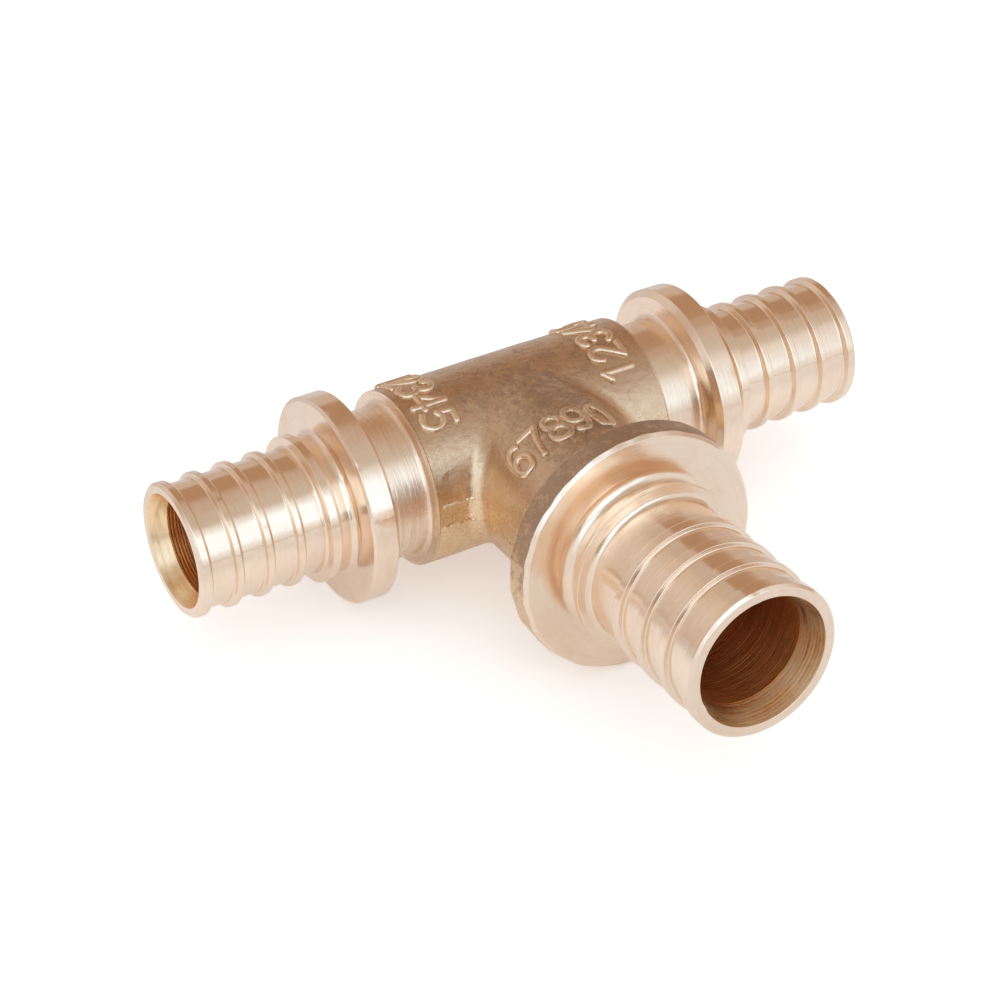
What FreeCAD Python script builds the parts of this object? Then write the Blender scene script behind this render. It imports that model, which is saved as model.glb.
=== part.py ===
import FreeCAD, Part
import os
import Sketcher

# Reducing tee for pex pipe with press-on sleeves: a straight run with two ribbed tails for 20 x 2.8 pipe
# and a ribbed side tail for 25 x 3.5 pipe, all one piece of hot-pressed and turned brass.
# Lengths in mm. X is the run, the branch points along -Y, +Z is up out of the plane of the tee,
# and the origin is where the axis of the branch meets the axis of the run.

doc = FreeCAD.newDocument("SleeveTee")

# Sizes. A length along an arm is measured from the part of the arm before it, unless a note says otherwise.
sizes = [
    ("body_diameter", 23.0, "pressed body round the run"),
    ("branch_drop", 0.2, "how much lower than the run the top of the branch lies"),
    ("saddle_fillet", 2.0, "round where the branch leaves the run"),
    ("run_body_reach", 17.0, "centre of the tee to the end of the pressed body"),
    ("run_neck_length", 6.2, "turned neck between body and collar"),
    ("run_neck_step", 1.75, "how far the neck lies below the skin of the body"),
    ("run_collar_width", 3.8, "collar from its back to the front of its rim"),
    ("run_rim_diameter", 27.0, "collar over its rim"),
    ("run_back_bevel_length", 0.6, "bevel at the back of the rim, along the arm"),
    ("run_back_bevel_depth", 0.9, "bevel at the back of the rim, towards the axis"),
    ("run_front_bevel_length", 0.25, "bevel at the front of the rim, along the arm"),
    ("run_front_bevel_depth", 0.5, "bevel at the front of the rim, towards the axis"),
    ("run_groove_length", 2.3, "groove between collar and bead"),
    ("run_groove_diameter", 17.4, "groove between collar and bead"),
    ("run_bead_length", 1.4, "bead in front of the collar"),
    ("run_bead_diameter", 19.0, "bead in front of the collar"),
    ("run_reach", 48.0, "centre of the tee to the end of the tail"),
    ("run_crest_diameter", 17.4, "tail over its ribs"),
    ("run_rib_height", 0.65, "ribs above the tail"),
    ("run_rib_pitch", 4.2, "from rib to rib"),
    ("run_rib_land", 0.8, "flat on top of a rib"),
    ("run_rib_ramp", 0.35, "slope on the collar side of a rib"),
    ("run_rib_drop", 0.12, "slope on the open side of a rib"),
    ("run_lip_length", 1.3, "rib that ends the tail"),
    ("run_lip_bevel", 0.35, "bevel round the end of the tail"),
    ("run_bore_diameter", 12.6, "water way through the run"),
    ("run_mouth_flare", 1.1, "how far the countersunk mouth is wider than the bore, on each side"),
    ("run_mouth_depth", 2.3, "depth of the countersink"),
    ("branch_body_reach", 27.0, "centre of the tee to the back of the collar"),
    ("branch_collar_width", 3.7, "collar from its back to the front of its rim"),
    ("branch_rim_diameter", 32.5, "collar over its rim"),
    ("branch_back_bevel_length", 0.2, "bevel at the back of the rim, along the arm"),
    ("branch_back_bevel_depth", 0.2, "bevel at the back of the rim, towards the axis"),
    ("branch_front_bevel_length", 0.5, "bevel at the front of the rim, along the arm"),
    ("branch_front_bevel_depth", 0.45, "bevel at the front of the rim, towards the axis"),
    ("branch_groove_length", 2.95, "groove between collar and bead"),
    ("branch_groove_diameter", 19.7, "groove between collar and bead"),
    ("branch_bead_length", 1.2, "bead in front of the collar"),
    ("branch_bead_diameter", 22.5, "bead in front of the collar"),
    ("branch_reach", 57.6, "centre of the tee to the end of the tail"),
    ("branch_crest_diameter", 20.4, "tail over its ribs"),
    ("branch_rib_height", 0.6, "ribs above the tail"),
    ("branch_rib_pitch", 4.93, "from rib to rib"),
    ("branch_rib_land", 1.35, "flat on top of a rib"),
    ("branch_rib_ramp", 0.35, "slope on the collar side of a rib"),
    ("branch_rib_drop", 0.15, "slope on the open side of a rib"),
    ("branch_lip_length", 1.95, "rib that ends the tail"),
    ("branch_lip_bevel", 0.35, "bevel round the end of the tail"),
    ("branch_bore_diameter", 15.4, "water way of the branch"),
    ("branch_bore_point", 4.6, "cone that the drill leaves at the bottom of the branch's water way"),
    ("branch_mouth_flare", 1.0, "how far the countersunk mouth is wider than the bore, on each side"),
    ("branch_mouth_depth", 3.8, "depth of the countersink"),
]

sheet = doc.addObject("Spreadsheet::Sheet", "Sizes")
for row, (name, value, note) in enumerate(sizes, start=1):
    sheet.set("A%d" % row, str(value))
    sheet.setAlias("A%d" % row, name)
    sheet.set("B%d" % row, note)
doc.recompute()


# A length that knows both its number and the sheet formula it comes from
class Length:
    def __init__(self, value, formula):
        self.value = value
        self.formula = formula

    def __add__(self, other):
        return Length(self.value + other.value, "(%s + %s)" % (self.formula, other.formula))

    def __sub__(self, other):
        return Length(self.value - other.value, "(%s - %s)" % (self.formula, other.formula))

    def __mul__(self, number):
        return Length(self.value * number, "%s * %s" % (self.formula, number))


def size(name):
    return Length(float(sheet.get(name)), "Sizes.%s" % name)


def radius(name):
    return size(name) * 0.5


onAxis = Length(0.0, "0")

tee = doc.addObject("PartDesign::Body", "tee_body")
tee.Label = "tee_body"
base = {item.Role: item for item in tee.Origin.OriginFeatures}

# An arm's sketch lies in the plane of the tee with its horizontal along the arm
armTurn = {"run": 0.0, "branch": -90.0}


def closedSketch(name, arm, corners):
    sketch = tee.newObject("Sketcher::SketchObject", name)
    sketch.AttachmentSupport = (base["XY_Plane"], [""])
    sketch.MapMode = "FlatFace"
    turn = FreeCAD.Rotation(FreeCAD.Vector(0, 0, 1), armTurn[arm])
    sketch.AttachmentOffset = FreeCAD.Placement(FreeCAD.Vector(), turn)
    points = [FreeCAD.Vector(along.value, out.value, 0) for along, out in corners]
    for index, point in enumerate(points):
        sketch.addGeometry(Part.LineSegment(point, points[(index + 1) % len(points)]))
    for index in range(len(points)):
        sketch.addConstraint(Sketcher.Constraint("Coincident", index, 2, (index + 1) % len(points), 1))
    for index, (along, out) in enumerate(corners):
        for kind, length in (("DistanceX", along), ("DistanceY", out)):
            place = sketch.addConstraint(Sketcher.Constraint(kind, index, 1, length.value))
            sketch.setExpression("Constraints[%d]" % place, length.formula)
    doc.recompute()
    return sketch


def turned(name, sketch, kind="PartDesign::Revolution"):
    feature = tee.newObject(kind, name)
    feature.Profile = sketch
    feature.ReferenceAxis = (sketch, ["H_Axis"])
    feature.Angle = 360
    sketch.Visibility = False
    doc.recompute()
    return feature


def rounded(name, feature, edges, length):
    fillet = tee.newObject("PartDesign::Fillet", name)
    fillet.Base = (feature, edges)
    fillet.setExpression("Radius", length.formula)
    doc.recompute()
    return fillet


# Places along an arm that more than one feature uses
class Arm:
    def __init__(self, name, collarBack):
        self.name = name
        self.collarBack = collarBack
        self.collarFront = collarBack + self.size("collar_width")
        self.beadBack = self.collarFront + self.size("groove_length")
        self.beadFront = self.beadBack + self.size("bead_length")
        self.end = self.size("reach")
        self.lip = self.end - self.size("lip_length")
        self.groove = self.size("groove_diameter") * 0.5
        self.bead = self.size("bead_diameter") * 0.5
        self.crest = self.size("crest_diameter") * 0.5
        self.root = self.crest - self.size("rib_height")
        self.bore = self.size("bore_diameter") * 0.5

    def size(self, name):
        return size(self.name + "_" + name)

    # Collar with its flat front, groove, bead and tail without the ribs, as an outline that ends on the axis
    def tailCorners(self):
        rim = self.size("rim_diameter") * 0.5
        bevel = self.size("lip_bevel")
        return [
            (self.collarBack, rim - self.size("back_bevel_depth")),
            (self.collarBack + self.size("back_bevel_length"), rim),
            (self.collarFront - self.size("front_bevel_length"), rim),
            (self.collarFront, rim - self.size("front_bevel_depth")),
            (self.collarFront, self.groove),
            (self.beadBack, self.groove),
            (self.beadBack, self.bead),
            (self.beadFront, self.bead),
            (self.beadFront, self.root),
            (self.lip - self.size("rib_ramp"), self.root),
            (self.lip, self.crest),
            (self.end - bevel, self.crest),
            (self.end, self.crest - bevel),
            (self.end, onAxis),
        ]

    # The rib next to the lip, sunk into the tail, and its row back towards the collar:
    # as many as the tail takes, half a pitch clear of the bead
    def ribs(self):
        pitch = self.size("rib_pitch")
        start = self.lip - pitch
        foot = start - self.size("rib_ramp")
        landEnd = start + self.size("rib_land")
        end = landEnd + self.size("rib_drop")
        sunk = self.bore
        corners = [(foot, sunk), (foot, self.root), (start, self.crest)]
        corners += [(landEnd, self.crest), (end, self.root), (end, sunk)]
        sketch = closedSketch(self.name + "_rib_outline", self.name, corners)
        rib = turned(self.name + "_rib", sketch)
        row = tee.newObject("PartDesign::LinearPattern", self.name + "_ribs")
        row.Originals = [rib]
        row.Direction = (sketch, ["H_Axis"])
        row.Reversed = True
        row.Mode = "Spacing"
        row.setExpression("Offset", pitch.formula)
        room = self.lip - self.size("rib_ramp") - self.beadFront
        row.setExpression("Occurrences", "floor(%s / %s - 0.5)" % (room.formula, pitch.formula))
        tee.Tip = row
        doc.recompute()
        return row

    # Outline of the water way from one place on the axis to the open end, with its countersunk mouth
    def wayCorners(self, start):
        return start + [
            (self.end - self.size("mouth_depth"), self.bore),
            (self.end, self.bore + self.size("mouth_flare")),
            (self.end, onAxis),
        ]


# Run: one half is turned and mirrored
bodyRadius = radius("body_diameter")
bodyReach = size("run_body_reach")
neck = bodyRadius - size("run_neck_step")
runArm = Arm("run", bodyReach + size("run_neck_length"))
runStart = [
    (onAxis, onAxis),
    (onAxis, bodyRadius),
    (bodyReach, bodyRadius),
    (bodyReach, neck),
    (runArm.collarBack, neck),
]
turned("run_half", closedSketch("run_outline", "run", runStart + runArm.tailCorners()))
runArm.ribs()
run = tee.newObject("PartDesign::Mirrored", "run_both_halves")
run.MirrorPlane = (base["YZ_Plane"], [""])
run.TransformMode = "Whole shape"
tee.Tip = run
doc.recompute()

# Branch: turned on from the centre of the run outwards
branchRadius = bodyRadius - size("branch_drop")
branchArm = Arm("branch", size("branch_body_reach"))
branchStart = [(onAxis, onAxis), (onAxis, branchRadius), (branchArm.collarBack, branchRadius)]
turned("branch_arm", closedSketch("branch_outline", "branch", branchStart + branchArm.tailCorners()))
branch = branchArm.ribs()


# Where the skin of the branch meets the skin of the run
def saddleEdges(feature):
    names = []
    for index, edge in enumerate(feature.Shape.Edges, start=1):
        first = edge.FirstParameter
        span = edge.LastParameter - first
        points = [edge.valueAt(first + span * share) for share in (0.1, 0.3, 0.5, 0.7, 0.9)]
        onRun = all(abs((p.y ** 2 + p.z ** 2) ** 0.5 - bodyRadius.value) < 0.01 for p in points)
        onBranch = all(abs((p.x ** 2 + p.z ** 2) ** 0.5 - branchRadius.value) < 0.01 for p in points)
        if onRun and onBranch and all(p.y < 0 for p in points):
            names.append("Edge%d" % index)
    return names


rounded("saddle_round", branch, saddleEdges(branch), size("saddle_fillet"))

# The branch is drilled first, until the drill's full width reaches the run's axis
point = onAxis - size("branch_bore_point")
branchWay = branchArm.wayCorners([(point, onAxis), (onAxis, branchArm.bore)])
turned("branch_bore", closedSketch("branch_bore_outline", "branch", branchWay), "PartDesign::Groove")

# The run is drilled from each end, and the two drillings meet at the centre
runWay = runArm.wayCorners([(onAxis, onAxis), (onAxis, runArm.bore)])
runBore = turned("run_bore", closedSketch("run_bore_outline", "run", runWay), "PartDesign::Groove")
runBores = tee.newObject("PartDesign::Mirrored", "run_bore_far_end")
runBores.Originals = [runBore]
runBores.MirrorPlane = (base["YZ_Plane"], [""])
runBores.Refine = False
tee.Tip = runBores

doc.recompute()
for item in doc.Objects:
    if "Invalid" in item.State or "Error" in item.State:
        raise RuntimeError("%s did not build: %s" % (item.Label, item.State))
if tee.Shape.isNull() or not tee.Shape.isValid() or len(tee.Shape.Solids) != 1:
    raise RuntimeError("the tee is not one sound solid")

print("volume %.1f mm3, box %s" % (tee.Shape.Volume, tee.Shape.BoundBox))
os.makedirs("parts", exist_ok=True)
tee.Shape.exportStep("parts/tee_body.step")
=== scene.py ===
# Brass reducing tee with press-sleeve tails: looks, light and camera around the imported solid
import math

import bmesh
import bpy
import numpy as np
from mathutils import Matrix, Vector, noise


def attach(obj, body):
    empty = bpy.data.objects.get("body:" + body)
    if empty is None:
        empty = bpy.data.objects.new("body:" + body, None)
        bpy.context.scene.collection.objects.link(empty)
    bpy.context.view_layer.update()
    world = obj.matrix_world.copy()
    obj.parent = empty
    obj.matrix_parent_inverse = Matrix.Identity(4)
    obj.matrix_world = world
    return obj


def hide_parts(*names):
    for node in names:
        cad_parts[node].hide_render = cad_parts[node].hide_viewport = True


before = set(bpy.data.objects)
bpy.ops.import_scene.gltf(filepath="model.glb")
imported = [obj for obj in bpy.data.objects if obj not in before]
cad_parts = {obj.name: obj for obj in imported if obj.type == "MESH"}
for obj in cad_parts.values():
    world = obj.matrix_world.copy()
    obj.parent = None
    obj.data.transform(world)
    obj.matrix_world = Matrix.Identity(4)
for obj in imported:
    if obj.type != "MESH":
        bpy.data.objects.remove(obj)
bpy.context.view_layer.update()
mm = 0.001                      # every length below is in millimetres
roundCount = 256                # faces round each turned arm
lineSteps = {"longest": 0.6, "support": 0.07, "bend": 0.24}     # along an arm's outline; bend in radians


def placeObject(name, data):
    piece = bpy.data.objects.new(name, data)
    bpy.context.scene.collection.objects.link(piece)
    return piece


# Camera: turn round Z from straight in front of the side tail, climb above it, roll in the picture
cameraSettings = {
    "turn": -0.50838,
    "climb": 0.57388,
    "roll": -0.03154,
    "distance": 405.456,
    "focalPixels": 3157.21,
    "centrePixel": (511.332, 439.789),
    "picturePixels": 1000.0,
    "sensor": 36.0,
    "nearest": 0.01,            # clipping, in metres
    "farthest": 20.0,
}


def makeCamera(settings):
    turn, climb, roll = settings["turn"], settings["climb"], settings["roll"]
    back = Vector((math.sin(turn) * math.cos(climb), -math.cos(turn) * math.cos(climb), math.sin(climb)))
    flatRight = Vector((math.cos(turn), math.sin(turn), 0.0))
    flatUp = back.cross(flatRight)
    right = flatRight * math.cos(roll) + flatUp * math.sin(roll)
    up = flatUp * math.cos(roll) - flatRight * math.sin(roll)
    half = settings["picturePixels"] / 2
    aside = (settings["centrePixel"][0] - half) / settings["focalPixels"] * settings["distance"]
    above = (half - settings["centrePixel"][1]) / settings["focalPixels"] * settings["distance"]
    place = back * settings["distance"] - right * aside - up * above
    data = bpy.data.cameras.new("photoCamera")
    data.sensor_width = settings["sensor"]
    data.lens = settings["focalPixels"] * settings["sensor"] / settings["picturePixels"]
    data.clip_start, data.clip_end = settings["nearest"], settings["farthest"]
    camera = placeObject("photoCamera", data)
    axes = Matrix((right, up, back)).transposed().to_4x4()
    camera.matrix_world = Matrix.Translation(place * mm) @ axes
    bpy.context.scene.camera = camera
    return camera


makeCamera(cameraSettings)
print("camera set")


# Turned arms
def roundedLine(corners, steps):
    # corners hold (along, radius, rounding) and close on themselves
    support = steps["support"]
    count = len(corners)
    bends = []
    for index, (along, out, rounding) in enumerate(corners):
        here = np.array((along, out))
        before = np.array(corners[index - 1][:2]) - here
        after = np.array(corners[(index + 1) % count][:2]) - here
        lengthBefore, lengthAfter = np.linalg.norm(before), np.linalg.norm(after)
        before /= lengthBefore
        after /= lengthAfter
        turn = math.pi - math.acos(max(-1.0, min(1.0, before @ after)))
        if rounding <= 0 or turn < 0.02:
            bends.append([here])
            continue
        reach = min(rounding * math.tan(turn / 2), lengthBefore * 0.46, lengthAfter * 0.46)
        radius = reach / math.tan(turn / 2)
        middle = before + after
        middle /= np.linalg.norm(middle)
        centre = here + middle * radius / math.cos(turn / 2)
        first = here + before * reach - centre
        last = here + after * reach - centre
        pieces = max(2, math.ceil(turn / steps["bend"]))
        bend = []
        for piece in range(pieces + 1):
            share = piece / pieces
            mix = first * math.sin((1 - share) * turn) + last * math.sin(share * turn)
            bend.append(centre + mix / math.sin(turn))
        bends.append(bend)
    line = []
    for index, bend in enumerate(bends):
        line.extend(bend)
        start, end = bend[-1], bends[(index + 1) % count][0]
        length = np.linalg.norm(end - start)
        if length < 2.5 * support:
            continue
        inner = [support / length, 1 - support / length]
        pieces = max(1, math.ceil((length - 2 * support) / steps["longest"]))
        for share in np.linspace(inner[0], inner[1], pieces + 1):
            line.append(start + (end - start) * share)
    return np.array(line)


def armDirections(arm):
    along = {"left": (-1, 0, 0), "right": (1, 0, 0), "side": (0, -1, 0)}[arm]
    first = (1, 0, 0) if arm == "side" else (0, -1, 0)
    return np.array(along, float), np.array(first, float), np.array((0.0, 0.0, 1.0))


def makeMesh(name, points, faces, slots=None, materials=()):
    mesh = bpy.data.meshes.new(name)
    mesh.from_pydata((points * mm).tolist(), [], faces.tolist() if hasattr(faces, "tolist") else faces)
    for material in materials:
        mesh.materials.append(material)
    if slots is not None:
        mesh.polygons.foreach_set("material_index", slots.astype(np.int32))
    mesh.polygons.foreach_set("use_smooth", np.ones(len(mesh.polygons), bool))
    mesh.update()
    return placeObject(name, mesh)


def makeArm(name, arm, corners, materials, pickSlot, wear):
    line = roundedLine(corners, lineSteps)
    along, first, up = armDirections(arm)
    angles = np.linspace(0, 2 * math.pi, roundCount, endpoint=False)
    t, r = np.meshgrid(line[:, 0], angles, indexing="ij")[0], np.repeat(line[:, 1:2], roundCount, axis=1)
    phi = np.repeat(angles[None, :], len(line), axis=0)
    slots = pickSlot((line + np.roll(line, -1, axis=0)) / 2)
    t, r = wear(t, r, phi)
    ring = first[None, None] * np.cos(phi)[..., None] + up[None, None] * np.sin(phi)[..., None]
    points = (along[None, None] * t[..., None] + ring * r[..., None]).reshape(-1, 3)
    rows, columns = len(line), roundCount
    i, j = np.meshgrid(np.arange(rows), np.arange(columns), indexing="ij")
    here, ahead = i * columns, (i + 1) % rows * columns
    after = (j + 1) % columns
    quads = np.stack([here + j, ahead + j, ahead + after, here + after], -1).reshape(-1, 4)
    a, b, c = points[quads[:, 0]], points[quads[:, 1]], points[quads[:, 2]]
    if np.einsum("ij,ij->i", a, np.cross(b, c)).sum() < 0:
        quads = quads[:, ::-1]
    return makeMesh(name, points, quads, np.repeat(slots, roundCount), materials)


runSizes = {
    "jointAt": 16.8, "bodyEnd": 17.0, "bodyRadius": 11.5, "neckRadius": 9.75, "neckRound": 0.7,
    "collarBack": 23.2, "backBevelRadius": 12.6, "rimStart": 23.8, "rimRadius": 13.5, "rimEnd": 26.75,
    "collarFront": 27.0, "frontRadius": 13.0, "grooveRadius": 8.7, "grooveRound": 0.9, "beadStart": 29.3,
    "beadRadius": 9.5, "beadEnd": 30.7, "beadFoot": 0.4, "beadBackFoot": 0.36, "beadBackTop": 0.28,
    "root": 8.05, "crest": 8.7, "ribStarts": (34.1, 38.3, 42.5),
    "ramp": 0.35, "land": 0.8, "drop": 0.12, "lip": 46.7, "end": 48.0, "lipBevel": 0.35,
    "mouth": 7.4, "mouthDepth": 2.3, "bore": 6.3, "neck": True, "backRound": 0.7,
}
sideSizes = {
    "jointAt": 25.8, "bodyRadius": 11.3, "collarBack": 27.0, "backBevelRadius": 16.05, "rimStart": 27.2,
    "rimRadius": 16.25, "rimEnd": 30.2, "collarFront": 30.7, "frontRadius": 15.8, "grooveRadius": 9.85,
    "grooveRound": 1.8, "beadStart": 33.65, "beadRadius": 11.25, "beadEnd": 34.85, "beadFoot": 0.9,
    "beadBackFoot": 0.64, "beadBackTop": 0.5, "root": 9.6, "crest": 10.2,
    "ribStarts": (40.86, 45.79, 50.72), "ramp": 0.35, "land": 1.35, "drop": 0.15,
    "lip": 55.65, "end": 57.6, "lipBevel": 0.35, "mouth": 8.7, "mouthDepth": 3.8, "bore": 7.7,
    "neck": False, "backRound": 1.0,
}


# How far a worn edge is rounded
edgeRounds = {
    "body": 0.05, "collarBack": 0.08, "rim": 0.1, "collarFront": 0.08, "bead": 0.07, "ribFoot": 0.18,
    "ribTop": 0.14, "ribBack": 0.12, "lipEdge": 0.1, "mouth": 0.08, "mouthEnd": 0.15,
}


def armCorners(s, e):
    corners = [(s["jointAt"], s["bodyRadius"], 0)]
    if s["neck"]:
        corners += [
            (s["bodyEnd"], s["bodyRadius"], e["body"]),
            (s["bodyEnd"], s["neckRadius"], s["neckRound"]),
            (s["collarBack"], s["neckRadius"], s["backRound"]),
        ]
    else:
        corners += [(s["collarBack"], s["bodyRadius"], s["backRound"])]
    corners += [
        (s["collarBack"], s["backBevelRadius"], e["collarBack"]),
        (s["rimStart"], s["rimRadius"], e["rim"]),
        (s["rimEnd"], s["rimRadius"], e["rim"]),
        (s["collarFront"], s["frontRadius"], e["collarFront"]),
        (s["collarFront"], s["grooveRadius"], s["grooveRound"]),
        (s["beadStart"], s["grooveRadius"], s["beadBackFoot"]),
        (s["beadStart"], s["beadRadius"], s["beadBackTop"]),
        (s["beadEnd"], s["beadRadius"], e["bead"]),
        (s["beadEnd"], s["root"], s["beadFoot"]),
    ]
    for start in s["ribStarts"]:
        corners += [
            (start - s["ramp"], s["root"], e["ribFoot"]),
            (start, s["crest"], e["ribTop"]),
            (start + s["land"], s["crest"], e["ribBack"]),
            (start + s["land"] + s["drop"], s["root"], e["ribFoot"]),
        ]
    corners += [
        (s["lip"] - s["ramp"], s["root"], e["ribFoot"]),
        (s["lip"], s["crest"], e["ribTop"]),
        (s["end"] - s["lipBevel"], s["crest"], e["ribBack"]),
        (s["end"], s["crest"] - s["lipBevel"], e["lipEdge"]),
        (s["end"], s["mouth"], e["mouth"]),
        (s["end"] - s["mouthDepth"], s["bore"], e["mouthEnd"]),
        (s["jointAt"], s["bore"], 0),
    ]
    return corners


# Materials
def newGroup(name, inputs, outputs):
    group = bpy.data.node_groups.new(name, "ShaderNodeTree")
    for label, kind, value in inputs:
        socket = group.interface.new_socket(name=label, in_out="INPUT", socket_type=kind)
        if value is not None:
            socket.default_value = value
    for label, kind in outputs:
        group.interface.new_socket(name=label, in_out="OUTPUT", socket_type=kind)
    start = group.nodes.new("NodeGroupInput")
    end = group.nodes.new("NodeGroupOutput")
    return group, start, end


def addNode(tree, kind, **settings):
    node = tree.nodes.new(kind)
    for key, value in settings.items():
        setattr(node, key, value)
    return node


def joinMath(tree, operation, first, second=None, third=None):
    node = addNode(tree, "ShaderNodeMath", operation=operation)
    for index, value in enumerate((first, second, third)):
        if value is None:
            continue
        if isinstance(value, (int, float)):
            node.inputs[index].default_value = value
        else:
            tree.links.new(value, node.inputs[index])
    return node.outputs[0]


def multiply(tree, first, second):
    return joinMath(tree, "MULTIPLY", first, second)


def multiplyAdd(tree, first, second, third):
    return joinMath(tree, "MULTIPLY_ADD", first, second, third)


def splitVector(tree, vector):
    split = addNode(tree, "ShaderNodeSeparateXYZ")
    tree.links.new(vector, split.inputs[0])
    return split.outputs[:3]


def setOrLink(tree, socket, value):
    if isinstance(value, bpy.types.NodeSocket):
        tree.links.new(value, socket)
    else:
        socket.default_value = value


def addNoise(tree, vector, scale, detail=3.0, roughness=0.55, distortion=0.0):
    node = addNode(tree, "ShaderNodeTexNoise")
    tree.links.new(vector, node.inputs["Vector"])
    setOrLink(tree, node.inputs["Scale"], scale)
    node.inputs["Detail"].default_value = detail
    node.inputs["Roughness"].default_value = roughness
    node.inputs["Distortion"].default_value = distortion
    return node.outputs["Fac"]


def addRange(tree, value, low, high, toLow=0.0, toHigh=1.0):
    node = addNode(tree, "ShaderNodeMapRange", interpolation_type="SMOOTHSTEP")
    for label, given in (("Value", value), ("From Min", low), ("From Max", high),
                         ("To Min", toLow), ("To Max", toHigh)):
        setOrLink(tree, node.inputs[label], given)
    return node.outputs["Result"]


def addMix(tree, share, first, second):
    node = addNode(tree, "ShaderNodeMix", data_type="RGBA")
    setOrLink(tree, node.inputs[0], share)
    setOrLink(tree, node.inputs[6], first)
    setOrLink(tree, node.inputs[7], second)
    return node.outputs[2]


def addLineNoise(tree, along, scale, detail):
    node = addNode(tree, "ShaderNodeTexNoise", noise_dimensions="1D")
    tree.links.new(along, node.inputs["W"])
    node.inputs["Scale"].default_value = scale
    node.inputs["Detail"].default_value = detail
    return node.outputs["Fac"]


# Rings that a cutting tool leaves: heights that change along the arm and out from its axis. faceShare is how
# fast they follow each other across a flat face, against along the arm
ringShape = {"faceShare": 1.37, "groove": 0.2, "fineScale": 1.0, "coarseScale": 0.9, "streakScale": 2.6,
             "streakHeight": 0.9}


def makeTurningGroup(shape):
    group, start, end = newGroup("turningMarks", [
        ("Vector", "NodeSocketVector", None),
        ("Along X", "NodeSocketFloat", 1.0),
        ("Feed", "NodeSocketFloat", 0.16),
        ("Chatter", "NodeSocketFloat", 0.5),
        ("Streak Length", "NodeSocketFloat", 140.0),
    ], [("Height", "NodeSocketFloat"), ("Streak", "NodeSocketFloat")])
    x, y, z = splitVector(group, start.outputs["Vector"])
    share = start.outputs["Along X"]
    rest = joinMath(group, "SUBTRACT", 1.0, share)
    along = multiplyAdd(group, x, share, multiply(group, y, rest))
    side = multiplyAdd(group, y, share, multiply(group, x, rest))
    square = multiplyAdd(group, side, side, multiply(group, z, z))
    across = joinMath(group, "SQRT", square)
    path = multiply(group, multiplyAdd(group, across, shape["faceShare"], along), 1 / mm)
    turns = joinMath(group, "DIVIDE", path, start.outputs["Feed"])
    fine = addLineNoise(group, turns, shape["fineScale"], 2.0)
    coarse = addLineNoise(group, path, shape["coarseScale"], 3.0)
    groove = joinMath(group, "SINE", multiply(group, turns, 2 * math.pi))
    height = multiplyAdd(group, groove, shape["groove"], fine)
    height = multiplyAdd(group, coarse, start.outputs["Chatter"], height)
    lengthwise = addNode(group, "ShaderNodeCombineXYZ")
    group.links.new(multiply(group, path, shape["streakScale"]), lengthwise.inputs[0])
    for index, value in ((1, side), (2, z)):
        stretched = multiply(group, value, start.outputs["Streak Length"])
        group.links.new(stretched, lengthwise.inputs[index])
    streak = addNoise(group, lengthwise.outputs[0], 1.0, 3.0, 0.75)
    height = multiplyAdd(group, streak, shape["streakHeight"], height)
    group.links.new(streak, end.inputs["Streak"])
    group.links.new(height, end.inputs["Height"])
    return group


# Stains and thin darkening that lie in soft patches over bare metal
def makePatinaGroup():
    group, start, end = newGroup("patina", [
        ("Vector", "NodeSocketVector", None),
        ("Scale", "NodeSocketFloat", 90.0),
        ("Amount", "NodeSocketFloat", 0.5),
        ("Clean", "NodeSocketColor", (0.85, 0.66, 0.49, 1)),
        ("Stained", "NodeSocketColor", (0.6, 0.4, 0.24, 1)),
    ], [("Color", "NodeSocketColor"), ("Mask", "NodeSocketFloat")])
    broad = addNoise(group, start.outputs["Vector"], start.outputs["Scale"], 3.0, 0.6, 0.6)
    finer = multiply(group, start.outputs["Scale"], 9.0)
    speck = addNoise(group, start.outputs["Vector"], finer, 2.0, 0.65)
    blend = multiplyAdd(group, speck, 0.45, broad)
    mask = multiply(group, addRange(group, blend, 0.62, 1.0), start.outputs["Amount"])
    group.links.new(mask, end.inputs["Mask"])
    colour = addMix(group, mask, start.outputs["Clean"], start.outputs["Stained"])
    group.links.new(colour, end.inputs["Color"])
    return group


turningMarks = makeTurningGroup(ringShape)
patina = makePatinaGroup()


def addGroup(tree, group, **values):
    node = addNode(tree, "ShaderNodeGroup", node_tree=group)
    for label, value in values.items():
        setOrLink(tree, node.inputs[label.replace("_", " ")], value)
    return node


def newMaterial(name):
    material = bpy.data.materials.new(name)
    material.use_nodes = True
    tree = material.node_tree
    tree.nodes.clear()
    shader = addNode(tree, "ShaderNodeBsdfPrincipled")
    output = addNode(tree, "ShaderNodeOutputMaterial")
    tree.links.new(shader.outputs[0], output.inputs["Surface"])
    where = addNode(tree, "ShaderNodeTexCoord").outputs["Object"]
    return material, tree, shader, where


def addBump(tree, shader, height):
    # the height is in millimetres
    bump = addNode(tree, "ShaderNodeBump")
    bump.inputs["Strength"].default_value = 1.0
    bump.inputs["Distance"].default_value = mm
    tree.links.new(height, bump.inputs["Height"])
    tree.links.new(bump.outputs[0], shader.inputs["Normal"])


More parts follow.
